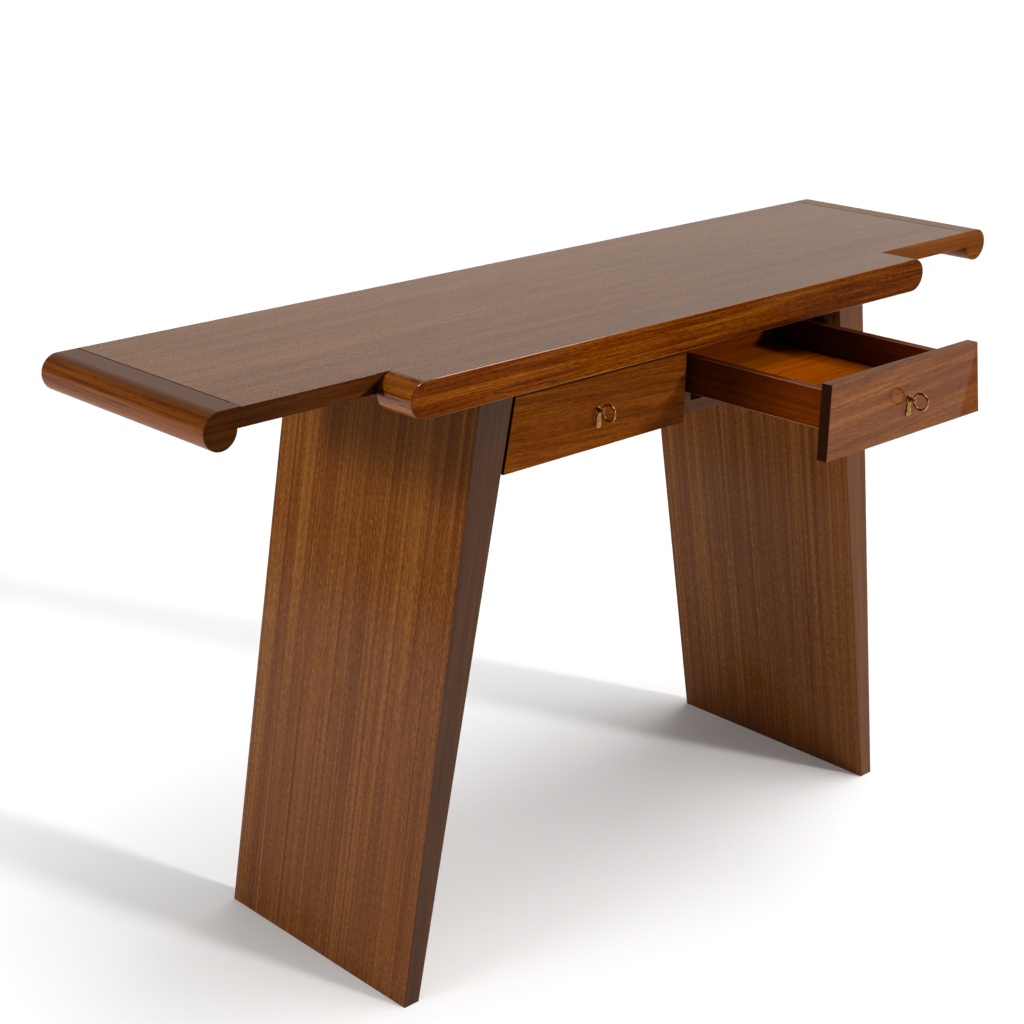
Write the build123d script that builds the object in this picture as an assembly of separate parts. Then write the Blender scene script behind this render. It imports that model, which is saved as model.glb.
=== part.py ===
from build123d import *
import os

# Console table with rolled ends, splayed slab legs and two locking drawers.
# Millimetres. X runs along the table, the front looks towards -Y, the floor is Z = 0.
# The origin lies on the floor under the middle of the object as it stands, with the
# right-hand drawer pulled open. Right-hand pieces are modelled at +X, and the
# left-hand ones are their mirror images.

# Top: a thin board, rolled end mouldings and a thicker beam along the front
TABLE_LENGTH = 1508.0
TABLE_HEIGHT = 850.0
BOARD_THICK = 25.0
BOARD_DEPTH = 334.0
ROLL_DIAMETER = 47.5
ROLL_FLAT = 5.5
BEAM_LENGTH = 1006.0
BEAM_DEPTH = 61.0
BEAM_HEIGHT = 47.5
JOINT_CHAMFER = 0.6
EASED_EDGE = 1.2

# Legs: slabs that lean outwards and taper towards the floor
LEG_TOP_X = 375.0
LEG_FOOT_X = 505.0
LEG_TOP_THICK = 56.0
LEG_FOOT_THICK = 25.0
LEG_FRONT_INSET = 13.5
LEG_BACK_INSET = 9.5
LIPPING_THICK = 1.5
LEG_EASED_EDGE = 0.8

# Drawer case between the legs
CASE_BOTTOM_THICK = 17.0
CASE_BACK_THICK = 15.0
CASE_BACK_INSET = 2.0
CASE_FRONT_GAP = 0.5
DIVIDER_THICK = 24.0
RUNNER_WIDTH = 18.0
RUNNER_HEIGHT = 16.0
GUIDE_WIDTH = 41.0
GUIDE_HEIGHT = 52.0
KICKER_WIDTH = 20.0

# Drawers
FRONT_INSET = 15.5
FRONT_THICK = 16.0
FRONT_HEIGHT = 100.5
FRONT_TOP_GAP = 4.0
FRONT_OVERHANG = 3.0
FRONT_MEETING_GAP = 2.5
FRONT_END_GAP = 7.0
FRONT_EASED_EDGE = 0.8
SIDE_THICK = 12.0
SIDE_DROP = 12.5
SIDE_EASED_EDGE = 1.5
SIDE_PLAY = 0.8
RUN_CLEARANCE = 0.2
TIP_CLEARANCE = 1.0
HOUSING_DEPTH = 4.0
BOTTOM_THICK = 5.0
BOTTOM_LIFT = 4.5
GROOVE_DEPTH = 5.0
DRAWER_BACK_THICK = 12.0
DRAWER_BACK_DROP = 6.0
DRAWER_TAIL = 10.0
DRAWER_BACK_ROOM = 17.0
DRAWER_OPENING = 235.5

# Lock, keyhole plate and key of each drawer
LOCK_WIDTH = 44.0
LOCK_COVER = 8.0
LOCK_FACE = 5.0
LOCK_WALL = 1.5
LOCK_ROOM = 1.5
BOLT_WIDTH = 28.0
BOLT_HEAD_WIDTH = 14.0
BOLT_THICK = 2.6
BOLT_SLIP = 0.15
BOLT_SETBACK = 0.5
SHOULDER_PLAY = 1.0
LIFT_PLAY = 1.0
STRIKE_LENGTH = 46.0
STRIKE_WIDTH = 15.0
STRIKE_THICK = 1.5
STRIKE_PLAY = 1.0
PLATE_THICK = 1.8
PLATE_HEAD = 10.5
PLATE_NECK = 5.0
PLATE_TONGUE = 9.6
PLATE_DROP = 24.0
PLATE_CHAMFER = 0.5
SHANK_DIAMETER = 5.0
SHANK_CLEARANCE = 0.05
SHANK_SHOW = 6.2
COLLAR_DIAMETER = 8.0
COLLAR_THICK = 1.6
RING_DIAMETER = 24.5
RING_WIRE = 3.2
BEAD_DIAMETER = 4.0
BIT_REACH = 12.0
BIT_THICK = 2.0
KEYHOLE_PLAY = 0.4

# Dowels in the joints
DOWEL_DIAMETER = 10.0
CASE_DOWEL_DIAMETER = 8.0
DOWEL_CLEARANCE = 0.05
BEAM_DOWEL_LENGTH = 56.0
BEAM_DOWEL_COUNT = 8
END_DOWEL_LENGTH = 44.0
LEG_DOWEL_LENGTH = 40.0
LEG_DOWEL_IN_BOARD = 17.0
CASE_DOWEL_LENGTH = 36.0
DOWEL_ROW_COUNT = 3
DOWEL_MARGIN = 60.0

# Levels
underside = TABLE_HEIGHT - BOARD_THICK
beam_bottom = TABLE_HEIGHT - BEAM_HEIGHT
front_top = beam_bottom - FRONT_TOP_GAP
front_bottom = front_top - FRONT_HEIGHT
case_bottom_z = front_bottom + FRONT_OVERHANG
case_top_z = case_bottom_z + CASE_BOTTOM_THICK
runner_top = case_top_z + RUNNER_HEIGHT
side_bottom = runner_top + RUN_CLEARANCE
side_top = front_top - SIDE_DROP
guide_top = case_top_z + GUIDE_HEIGHT
bottom_low = side_bottom + BOTTOM_LIFT
bottom_high = bottom_low + BOTTOM_THICK
key_z = (front_top + front_bottom) / 2
lock_top = front_top - LOCK_COVER
lock_bottom = key_z - BIT_REACH - LOCK_ROOM - LOCK_WALL
bolt_travel = BIT_REACH - SHANK_DIAMETER / 2

# Depths. The beam's front is set so that the whole object, open drawer and key
# included, is centred on the origin.
key_reach = SHANK_SHOW + RING_DIAMETER
object_depth = BEAM_DEPTH + BOARD_DEPTH + DRAWER_OPENING + key_reach - FRONT_INSET
board_back = object_depth / 2
beam_back = board_back - BOARD_DEPTH
beam_front = beam_back - BEAM_DEPTH
leg_front = beam_front + LEG_FRONT_INSET
leg_back = board_back - LEG_BACK_INSET
front_face = beam_front + FRONT_INSET
front_back = front_face + FRONT_THICK
case_front = front_back + CASE_FRONT_GAP
case_rear = leg_back - CASE_BACK_INSET
back_face = case_rear - CASE_BACK_THICK
drawer_rear = back_face - DRAWER_BACK_ROOM
lock_front = front_face + LOCK_FACE
bolt_front = lock_front + LOCK_WALL + BOLT_SLIP
cap_face = front_back - LOCK_WALL


# Widths
def leg_outer(z):
    """Outer face of the right leg at a height."""
    return LEG_TOP_X + (LEG_FOOT_X - LEG_TOP_X) * (underside - z) / underside


def leg_inner(z):
    """Inner face of the right leg at a height."""
    taper = (LEG_FOOT_THICK - LEG_TOP_THICK) * (underside - z) / underside
    return leg_outer(z) - LEG_TOP_THICK - taper


def front_end(z):
    """Slanted outer end of the right drawer front at a height."""
    return leg_inner(z) - FRONT_END_GAP


joint_x = TABLE_LENGTH / 2 - ROLL_DIAMETER - ROLL_FLAT
guide_inner = leg_inner(guide_top) - GUIDE_WIDTH
box_inner = DIVIDER_THICK / 2 + SIDE_PLAY
box_outer = guide_inner - SIDE_PLAY
meeting_x = FRONT_MEETING_GAP / 2
key_x = (meeting_x + front_end(front_bottom)) / 2


# Shaping helpers
def block(x_span, y_span, z_span):
    """A board between two planes along each axis."""
    spans = (x_span, y_span, z_span)
    centre = [(low + high) / 2 for low, high in spans]
    return Pos(*centre) * Box(*[high - low for low, high in spans])


def upright(profile, y_span):
    """A profile drawn in X and Z, extruded from front to back."""
    front = Plane(origin=(0, y_span[0], 0), x_dir=(1, 0, 0), z_dir=(0, -1, 0))
    return extrude(front * profile, y_span[0] - y_span[1])


def outline(*points):
    """A straight-sided profile through its corners."""
    return Polygon(*points, align=None)


def wedge(low, high, inner, outer):
    """A profile between two levels, whose ends follow two functions of height."""
    return outline((inner(low), low), (outer(low), low), (outer(high), high), (inner(high), high))


def rod(centre, diameter, length, axis):
    """A round rod about its centre, along X, Y or Z."""
    turn = {"X": Rot(0, 90, 0), "Y": Rot(90, 0, 0), "Z": Rot(0, 0, 0)}[axis]
    return Pos(*centre) * turn * Cylinder(diameter / 2, length)


def spread(low, high, count):
    """Evenly spaced places, ends included."""
    return [low + (high - low) * i / (count - 1) for i in range(count)]


def mirrored(piece):
    """The left-hand twin of a right-hand piece."""
    return mirror(piece, about=Plane.YZ)


def eased_front(piece, radius):
    """A piece with every edge of its front face rounded."""
    return fillet(piece.faces().sort_by(Axis.Y)[0].edges(), radius)


# Dowels: each is a centre, diameter, length and axis
beam_dowel_reach = BEAM_LENGTH / 2 - BEAM_HEIGHT / 2 - DOWEL_MARGIN
row = spread(beam_back + DOWEL_MARGIN, leg_back - DOWEL_MARGIN, DOWEL_ROW_COUNT)
case_row = spread(case_front + DOWEL_MARGIN, back_face - DOWEL_MARGIN, DOWEL_ROW_COUNT)
board_mid = TABLE_HEIGHT - BOARD_THICK / 2
case_mid = case_top_z - CASE_BOTTOM_THICK / 2
leg_top_middle = leg_outer(underside) - LEG_TOP_THICK / 2
leg_dowel_z = underside + LEG_DOWEL_IN_BOARD - LEG_DOWEL_LENGTH / 2

beam_dowels = [
    ((x, beam_back, board_mid), DOWEL_DIAMETER, BEAM_DOWEL_LENGTH, "Y")
    for x in spread(-beam_dowel_reach, beam_dowel_reach, BEAM_DOWEL_COUNT)
]
end_dowels = [
    ((hand * joint_x, y, board_mid), DOWEL_DIAMETER, END_DOWEL_LENGTH, "X")
    for hand in (-1, 1)
    for y in row
]
leg_dowels = [
    ((hand * leg_top_middle, y, leg_dowel_z), DOWEL_DIAMETER, LEG_DOWEL_LENGTH, "Z")
    for hand in (-1, 1)
    for y in row
]
case_dowels = [
    ((hand * leg_inner(case_mid), y, case_mid), CASE_DOWEL_DIAMETER, CASE_DOWEL_LENGTH, "X")
    for hand in (-1, 1)
    for y in case_row
]


def dowel_set(dowels):
    """The dowels of one group as separate solids."""
    return Compound(children=[rod(*dowel) for dowel in dowels])


def drilled(piece, dowels):
    """A piece with the holes for its dowels."""
    for centre, diameter, length, axis in dowels:
        piece -= rod(centre, diameter + 2 * DOWEL_CLEARANCE, length, axis)
    return piece


# Top
def wing_arris(x_span, z, side):
    """The sliver to take off a wing's front edge, above (1) or below (-1), to round it."""
    low, high = sorted((z, z - side * EASED_EDGE))
    corner = block(x_span, (beam_back, beam_back + EASED_EDGE), (low, high))
    length = x_span[1] - x_span[0]
    centre = ((x_span[0] + x_span[1]) / 2, beam_back + EASED_EDGE, z - side * EASED_EDGE)
    return corner - rod(centre, 2 * EASED_EDGE, length, "X")


def make_top_board():
    board = block((-joint_x, joint_x), (beam_back, board_back), (underside, TABLE_HEIGHT))
    back_edges = board.faces().sort_by(Axis.Y)[-1].edges().filter_by(Axis.X)
    board = fillet(back_edges, EASED_EDGE)
    top_ends = board.faces().sort_by(Axis.Z)[-1].edges().filter_by(Axis.Y)
    board = chamfer(top_ends, JOINT_CHAMFER)
    wing = (BEAM_LENGTH / 2, joint_x)
    for span in (wing, (-wing[1], -wing[0])):
        board -= wing_arris(span, TABLE_HEIGHT, 1)
        board -= wing_arris(span, underside, -1)
    return drilled(board, beam_dowels + end_dowels + leg_dowels)


def make_end_moulding():
    roll = ROLL_DIAMETER / 2
    roll_x = TABLE_LENGTH / 2 - roll
    flat = outline(
        (joint_x, underside), (roll_x, underside), (roll_x, TABLE_HEIGHT), (joint_x, TABLE_HEIGHT)
    )
    profile = flat + Pos(roll_x, TABLE_HEIGHT - roll) * Circle(roll)
    moulding = upright(profile, (beam_back, board_back))
    for end in (0, -1):
        rim = moulding.faces().sort_by(Axis.Y)[end].edges()
        moulding = fillet(rim - rim.filter_by(Axis.Z), EASED_EDGE)
    joint_edge = moulding.faces().sort_by(Axis.X)[0].edges().filter_by(Axis.Y).sort_by(Axis.Z)[-1]
    moulding = chamfer(joint_edge, JOINT_CHAMFER)
    return drilled(moulding, end_dowels)


def strike_spans():
    """Width, depth and height of the strike plate, and of the slot through it."""
    middle = bolt_front + BOLT_THICK / 2
    half_slot = BOLT_HEAD_WIDTH / 2 + STRIKE_PLAY
    plate = (
        (key_x - STRIKE_LENGTH / 2, key_x + STRIKE_LENGTH / 2),
        (middle - STRIKE_WIDTH / 2, middle + STRIKE_WIDTH / 2),
        (beam_bottom, beam_bottom + STRIKE_THICK),
    )
    slot = (
        (key_x - half_slot, key_x + half_slot),
        (middle - BOLT_THICK / 2 - STRIKE_PLAY, middle + BOLT_THICK / 2 + STRIKE_PLAY),
        (beam_bottom, beam_bottom + bolt_travel),
    )
    return plate, slot


def make_front_beam():
    profile = Pos(0, TABLE_HEIGHT - BEAM_HEIGHT / 2) * SlotOverall(BEAM_LENGTH, BEAM_HEIGHT)
    beam = upright(profile, (beam_front, beam_back))
    beam = eased_front(beam, EASED_EDGE)
    for span in strike_spans():
        mortise = block(*span)
        beam = beam - mortise - mirrored(mortise)
    return drilled(beam, beam_dowels)


def make_strike_plate():
    plate, slot = strike_spans()
    return block(*plate) - block(*slot)


# Legs
leg_profile = wedge(0, underside, leg_inner, leg_outer)
beam_room = block(
    (-TABLE_LENGTH / 2, TABLE_LENGTH / 2), (beam_front, beam_back), (beam_bottom, TABLE_HEIGHT)
)


def make_leg_panel():
    panel = upright(leg_profile, (leg_front + LIPPING_THICK, leg_back - LIPPING_THICK)) - beam_room
    return drilled(panel, leg_dowels + case_dowels)


def make_leg_lipping(y_span, outer_face):
    """A thin strip on the front (0) or back (-1) edge of a leg, its long arrises rounded."""
    strip = upright(leg_profile, y_span) - beam_room
    arrises = strip.faces().sort_by(Axis.Y)[outer_face].edges().sort_by(SortBy.LENGTH)[-2:]
    return fillet(arrises, LEG_EASED_EDGE)


# Drawer case
def left_leg_inner(z):
    """Inner face of the left leg at a height."""
    return -leg_inner(z)


def guide_face(z):
    """Face of the guide that a drawer side runs along."""
    return guide_inner


def make_case_bottom():
    profile = wedge(case_bottom_z, case_top_z, left_leg_inner, leg_inner)
    return drilled(upright(profile, (case_front, case_rear)), case_dowels)


def make_case_back():
    return upright(wedge(case_top_z, underside, left_leg_inner, leg_inner), (back_face, case_rear))


def make_centre_divider():
    half = DIVIDER_THICK / 2
    return block((-half, half), (case_front, back_face), (case_top_z, underside)) - beam_room


def make_drawer_guide():
    return upright(wedge(case_top_z, guide_top, guide_face, leg_inner), (case_front, back_face))


def strip_pair(width, y_span, z_span):
    """Two strips, one beside the divider and one beside the guide."""
    inner = (DIVIDER_THICK / 2, DIVIDER_THICK / 2 + width)
    outer = (guide_inner - width, guide_inner)
    return Compound(children=[block(x_span, y_span, z_span) for x_span in (inner, outer)])


def make_runners():
    return strip_pair(RUNNER_WIDTH, (case_front, back_face), (case_top_z, runner_top))


def make_kickers():
    return strip_pair(KICKER_WIDTH, (beam_back, back_face), (side_top + TIP_CLEARANCE, underside))


# Drawers, modelled shut
inner_side_span = (box_inner, box_inner + SIDE_THICK)
outer_side_span = (box_outer - SIDE_THICK, box_outer)
room_span = (inner_side_span[1], outer_side_span[0])
back_span = (drawer_rear - DRAWER_TAIL - DRAWER_BACK_THICK, drawer_rear - DRAWER_TAIL)
back_top = side_top - DRAWER_BACK_DROP
lock_span = (key_x - LOCK_WIDTH / 2, key_x + LOCK_WIDTH / 2)
lock_levels = (lock_bottom, lock_top)


def keyhole(play):
    """The outline that lets the key's shank and bit through."""
    slot_half = BIT_THICK / 2 + play
    reach = BIT_REACH + play
    slot = outline((-slot_half, 0), (slot_half, 0), (slot_half, -reach), (-slot_half, -reach))
    return Pos(key_x, key_z) * (Circle(SHANK_DIAMETER / 2 + SHANK_CLEARANCE) + slot)


def bolt_channel():
    """The way the bolt's head takes up through the lock's top wall and the wood above it."""
    half = BOLT_HEAD_WIDTH / 2 + BOLT_SLIP
    depth = (bolt_front - BOLT_SLIP, bolt_front + BOLT_THICK + BOLT_SLIP)
    return block((key_x - half, key_x + half), depth, (lock_top - LOCK_WALL, front_top))


def make_drawer_bottom():
    span = (room_span[0] - GROOVE_DEPTH, room_span[1] + GROOVE_DEPTH)
    return block(span, (front_back, drawer_rear), (bottom_low, bottom_high))


def make_drawer_back():
    span = (room_span[0] - HOUSING_DEPTH, room_span[1] + HOUSING_DEPTH)
    return block(span, back_span, (bottom_high, back_top))


def make_drawer_side(x_span):
    """A side let into the front, grooved for the bottom and housed for the back."""
    side = block(x_span, (front_back - HOUSING_DEPTH, drawer_rear), (side_bottom, side_top))
    side = fillet(side.edges().filter_by(Axis.Y), SIDE_EASED_EDGE)
    return side - make_drawer_bottom() - make_drawer_back()


def make_drawer_front():
    profile = wedge(front_bottom, front_top, lambda z: meeting_x, front_end)
    front = upright(profile, (front_face, front_back))
    front = eased_front(front, FRONT_EASED_EDGE)
    for x_span in (inner_side_span, outer_side_span):
        front -= block(x_span, (front_back - HOUSING_DEPTH, front_back), (side_bottom, side_top))
    front -= block(lock_span, (lock_front, front_back), lock_levels)
    return front - bolt_channel() - upright(keyhole(KEYHOLE_PLAY), (front_face, lock_front))


def make_lock_case():
    case = block(lock_span, (lock_front, cap_face), lock_levels)
    cavity = block(
        (lock_span[0] + LOCK_WALL, lock_span[1] - LOCK_WALL),
        (lock_front + LOCK_WALL, cap_face),
        (lock_levels[0] + LOCK_WALL, lock_levels[1] - LOCK_WALL),
    )
    return case - cavity - bolt_channel() - upright(keyhole(KEYHOLE_PLAY), (lock_front, cap_face))


def make_lock_cap():
    return block(lock_span, (cap_face, front_back), lock_levels)


def make_lock_bolt():
    """A flat bolt: its foot stands over the key's bit, and its narrow head rises out of the lock."""
    foot = key_z + SHANK_DIAMETER / 2 + LIFT_PLAY
    shoulder = lock_top - LOCK_WALL - SHOULDER_PLAY - bolt_travel
    head_top = front_top - BOLT_SETBACK
    half_body = BOLT_WIDTH / 2
    half_head = BOLT_HEAD_WIDTH / 2
    right = [(half_body, foot), (half_body, shoulder), (half_head, shoulder), (half_head, head_top)]
    left = [(-x, z) for x, z in reversed(right)]
    return upright(Pos(key_x, 0) * outline(*right, *left), (bolt_front, bolt_front + BOLT_THICK))


def make_keyhole_plate():
    """A round head over a tongue that widens downwards, pierced by the keyhole."""
    tongue = PLATE_TONGUE / 2
    neck_arc = CenterArc((0, 0), PLATE_NECK / 2, 0, 360)
    tip_arc = CenterArc((0, tongue - PLATE_DROP), tongue, 0, 360)
    profile = Circle(PLATE_HEAD / 2) + make_hull(neck_arc.edges() + tip_arc.edges())
    plate = upright(Pos(key_x, key_z) * profile, (front_face - PLATE_THICK, front_face))
    rim = plate.faces().sort_by(Axis.Y)[0].edges()
    plate = chamfer(rim, PLATE_CHAMFER)
    return plate - upright(keyhole(KEYHOLE_PLAY), (front_face - PLATE_THICK, front_face))


def make_key():
    """A round shank with a collar, a ring bow with a bead inside it, and a bit."""
    ring_radius = (RING_DIAMETER - RING_WIRE) / 2
    ring_y = front_face - SHANK_SHOW - RING_DIAMETER / 2
    shank_tip = cap_face - BOLT_SLIP
    shank_head = ring_y + ring_radius
    collar_y = front_face - PLATE_THICK - COLLAR_THICK
    shank_middle = (shank_tip + shank_head) / 2
    shank = rod((key_x, shank_middle, key_z), SHANK_DIAMETER, shank_tip - shank_head, "Y")
    collar = rod((key_x, collar_y, key_z), COLLAR_DIAMETER, COLLAR_THICK, "Y")
    ring = Pos(key_x, ring_y, key_z) * Rot(0, 90, 0) * Torus(ring_radius, RING_WIRE / 2)
    bead = Pos(key_x, shank_head - RING_WIRE / 2, key_z) * Sphere(BEAD_DIAMETER / 2)
    bit = block(
        (key_x - BIT_THICK / 2, key_x + BIT_THICK / 2),
        (bolt_front, bolt_front + BOLT_THICK),
        (key_z - BIT_REACH, key_z),
    )
    return shank + collar + ring + bead + bit


# Assembly
drawer_pieces = {
    "drawer_front": make_drawer_front(),
    "drawer_inner_side": make_drawer_side(inner_side_span),
    "drawer_outer_side": make_drawer_side(outer_side_span),
    "drawer_back": make_drawer_back(),
    "drawer_bottom": make_drawer_bottom(),
    "lock_case": make_lock_case(),
    "lock_cap": make_lock_cap(),
    "lock_bolt": make_lock_bolt(),
    "keyhole_plate": make_keyhole_plate(),
    "key": make_key(),
}
paired_pieces = {
    "end_moulding": make_end_moulding(),
    "leg_panel": make_leg_panel(),
    "leg_front_lipping": make_leg_lipping((leg_front, leg_front + LIPPING_THICK), 0),
    "leg_back_lipping": make_leg_lipping((leg_back - LIPPING_THICK, leg_back), -1),
    "drawer_guide": make_drawer_guide(),
    "drawer_runners": make_runners(),
    "drawer_kickers": make_kickers(),
    "strike_plate": make_strike_plate(),
}
nodes = {
    "top_board": make_top_board(),
    "front_beam": make_front_beam(),
    "case_bottom": make_case_bottom(),
    "case_back": make_case_back(),
    "centre_divider": make_centre_divider(),
    "top_dowels": dowel_set(beam_dowels + end_dowels),
    "leg_dowels": dowel_set(leg_dowels),
    "case_dowels": dowel_set(case_dowels),
}
for name, piece in paired_pieces.items():
    nodes["left_" + name] = mirrored(piece)
    nodes["right_" + name] = piece
for name, piece in drawer_pieces.items():
    nodes["left_" + name] = mirrored(piece)
    nodes["right_" + name] = Pos(0, -DRAWER_OPENING, 0) * piece

os.makedirs("parts", exist_ok=True)
for name, shape in nodes.items():
    export_step(shape, "parts/" + name + ".step")
print(len(nodes), "nodes written")
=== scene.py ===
# %% [markdown]
# # A lacquered console table with two drawers
# The table is a thin veneered top with rolled ends, a thicker beam along its front, two leaning
# slab legs and a case with two drawers. The wood is dressed here, in the frame of the solid model:
# every surface gets a procedural finish, and the small screws of the locks are modelled by hand.

# %% Load the solid model
import math

import bpy
from mathutils import Matrix, Vector


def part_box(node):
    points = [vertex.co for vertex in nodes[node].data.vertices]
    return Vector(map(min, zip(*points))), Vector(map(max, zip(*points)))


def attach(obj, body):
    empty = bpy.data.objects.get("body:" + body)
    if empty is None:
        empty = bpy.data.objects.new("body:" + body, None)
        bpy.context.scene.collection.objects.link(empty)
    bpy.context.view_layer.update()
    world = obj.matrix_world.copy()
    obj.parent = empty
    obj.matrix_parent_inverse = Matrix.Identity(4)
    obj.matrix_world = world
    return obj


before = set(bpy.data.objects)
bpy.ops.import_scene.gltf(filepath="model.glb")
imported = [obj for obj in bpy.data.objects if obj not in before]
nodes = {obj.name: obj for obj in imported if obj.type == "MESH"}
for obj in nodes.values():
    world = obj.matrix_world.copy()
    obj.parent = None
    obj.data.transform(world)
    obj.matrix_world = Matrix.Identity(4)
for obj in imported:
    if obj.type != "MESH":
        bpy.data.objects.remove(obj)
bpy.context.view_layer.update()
HANDS = ("left", "right")

# %% [markdown]
# ## The camera
# The picture was taken from the left, a little above the top. Its place, its turn and its focal
# length come from the straight edges of the table. The picture is a crop of a wider one, so the
# optical axis isn't in its middle, and the camera's shift says how far off it lies.

# %% Camera
IMAGE_SIDE = 1024
FOCAL_PIXELS = 1983.6
AXIS_PIXEL = (424.0, 562.6)
SENSOR_WIDTH = 36.0
CAMERA_FROM_BEAM = Vector((-1.9625, -1.6507, 1.4855))
CAMERA_YAW = math.radians(41.87)
CAMERA_PITCH = math.radians(21.22)

beam_low, beam_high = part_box("front_beam")
board_low, board_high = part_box("top_board")
under_beam_front = Vector((0.0, beam_low.y, 0.0))
bpy.ops.object.camera_add(
    location=under_beam_front + CAMERA_FROM_BEAM,
    rotation=(math.pi / 2 - CAMERA_PITCH, 0.0, -CAMERA_YAW),
)
camera = bpy.context.object
camera.data.sensor_width = SENSOR_WIDTH
camera.data.lens = FOCAL_PIXELS / IMAGE_SIDE * SENSOR_WIDTH
camera.data.shift_x = 0.5 - AXIS_PIXEL[0] / IMAGE_SIDE
camera.data.shift_y = AXIS_PIXEL[1] / IMAGE_SIDE - 0.5
bpy.context.scene.camera = camera
print("camera at", [round(v, 3) for v in camera.location], "lens", round(camera.data.lens, 1))

# %% [markdown]
# ## Node helpers
# A finish is a small network of shader nodes. These helpers add a node, fill or link its sockets
# and hand on its output, so that each finish below reads as a recipe.

# %% Colours and sockets
BLACK = (0.0, 0.0, 0.0, 1.0)
WHITE = (1.0, 1.0, 1.0, 1.0)


def linear(tone):
    """A screen colour of 0 to 255 as the linear colour that shaders use."""
    scaled = [channel / 255 for channel in tone]
    return [c / 12.92 if c <= 0.04045 else ((c + 0.055) / 1.055) ** 2.4 for c in scaled] + [1.0]


def feed(tree, socket, value):
    """Links a socket to another node's output, or sets it to a plain value."""
    if isinstance(value, bpy.types.NodeSocket):
        tree.links.new(value, socket)
    else:
        socket.default_value = value


def add_node(tree, kind, inputs, **settings):
    """Adds a node, with its inputs by name or number, and returns it."""
    node = tree.nodes.new(kind)
    for name, value in settings.items():
        setattr(node, name, value)
    for name, value in inputs.items():
        feed(tree, node.inputs[name], value)
    return node


print("mid grey is", round(linear((128, 128, 128))[0], 3), "in linear light")


# %% Values and colours in nodes
def calculate(tree, operation, *values):
    """A Math node's result."""
    return add_node(tree, "ShaderNodeMath", dict(enumerate(values)), operation=operation).outputs[0]


def remap(tree, value, low, high, to_low=0.0, to_high=1.0):
    """A value brought smoothly from one range to another, and held at its ends."""
    span = {"Value": value, "From Min": low, "From Max": high, "To Min": to_low, "To Max": to_high}
    return add_node(tree, "ShaderNodeMapRange", span, interpolation_type="SMOOTHSTEP").outputs[0]


def mix(tree, factor, under, over):
    """One colour laid over another."""
    node = add_node(tree, "ShaderNodeMix", {}, data_type="RGBA")
    for socket, value in ((0, factor), (6, under), (7, over)):
        feed(tree, node.inputs[socket], value)
    return node.outputs[2]


def ramp(tree, factor, *stops):
    """A colour ramp through (place, colour) stops."""
    node = add_node(tree, "ShaderNodeValToRGB", {"Fac": factor})
    elements = node.color_ramp.elements
    while len(elements) < len(stops):
        elements.new(1.0)
    for element, (place, color) in zip(elements, stops):
        element.position = place
        element.color = color
    return node.outputs["Color"]


print("helpers for nodes: calculate, remap, mix, ramp")


# %% Materials and coordinates
def object_space(tree, output):
    """Object coordinates or the object-space normal, split into X, Y and Z."""
    texture = add_node(tree, "ShaderNodeTexCoord", {})
    return add_node(tree, "ShaderNodeSeparateXYZ", {"Vector": texture.outputs[output]}).outputs


def new_material(name):
    """An empty material with its principled shader."""
    material = bpy.data.materials.new(name)
    material.use_nodes = True
    return material, material.node_tree, material.node_tree.nodes["Principled BSDF"]


def dress(material, *names):
    """Gives nodes of the model their finish."""
    for name in names:
        nodes[name].data.materials.clear()
        nodes[name].data.materials.append(material)
    print(material.name, "on", len(names), "nodes")


print("helpers for finishes: object_space, new_material, dress")

# %% [markdown]
# ## Wood under lacquer
# Straight-grained wood has layers at different scales: broad bands, ribbons about a finger wide,
# thin streaks, and flecks that only run for a few millimetres. Each layer is one noise, stretched
# along the grain, and open pores are one more, which shows as short dark dashes. It could be a
# photograph of a board, but noise on Object coordinates keeps the true scale, never repeats, and
# runs on from one board to the next. A lay such as "XY" says that the grain runs along X and that
# its figure changes across Y. Veneer hardly changes through its thickness, and solid wood changes
# as much as across.

# %% Wood figure
PORE_WIDTH = 0.0012
PORE_LENGTH = 0.020
PORE_SHADE = 0.6
PORE_EDGE = (0.42, 0.30)


def stretched_noise(tree, coords, lay, width, length, through=1.0, wave=0.0):
    """Noise with a width across the grain and a length along it, in metres."""
    sizes = {axis: width * through for axis in "XYZ"}
    sizes[lay[1]] = width
    sizes[lay[0]] = length
    scale = [1 / sizes[axis] for axis in "XYZ"]
    mapping = add_node(tree, "ShaderNodeMapping", {"Vector": coords, "Scale": scale})
    sockets = {"Vector": mapping.outputs[0], "Scale": 1.0, "Detail": 2.0, "Distortion": wave}
    return add_node(tree, "ShaderNodeTexNoise", sockets).outputs["Fac"]


def wood_color(tree, lay, tones, layers, turn=0.0, through=1.0, wave=0.0, pores=0.5):
    """Wood from dark, body and light tones. A layer has a width, a length and a strength."""
    texture = add_node(tree, "ShaderNodeTexCoord", {})
    turned = {"Vector": texture.outputs["Object"], "Rotation": (0.0, turn, 0.0)}
    coords = add_node(tree, "ShaderNodeMapping", turned).outputs[0]
    figure = 0.5
    for width, length, strength in layers:
        noise = stretched_noise(tree, coords, lay, width, length, through, wave)
        swing = calculate(tree, "SUBTRACT", noise, 0.5)
        figure = calculate(tree, "MULTIPLY_ADD", swing, strength, figure)
    dark, body, light = [linear(tone) for tone in tones]
    color = ramp(tree, figure, (0.0, dark), (0.5, body), (1.0, light))
    dashes = stretched_noise(tree, coords, lay, PORE_WIDTH, PORE_LENGTH)
    open_pores = calculate(tree, "MULTIPLY", remap(tree, dashes, *PORE_EDGE), pores)
    pore_tone = linear([channel * PORE_SHADE for channel in tones[0]])
    return mix(tree, open_pores, color, pore_tone), dashes


print("pores are", PORE_WIDTH, "m wide and", PORE_LENGTH, "m long")

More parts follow.
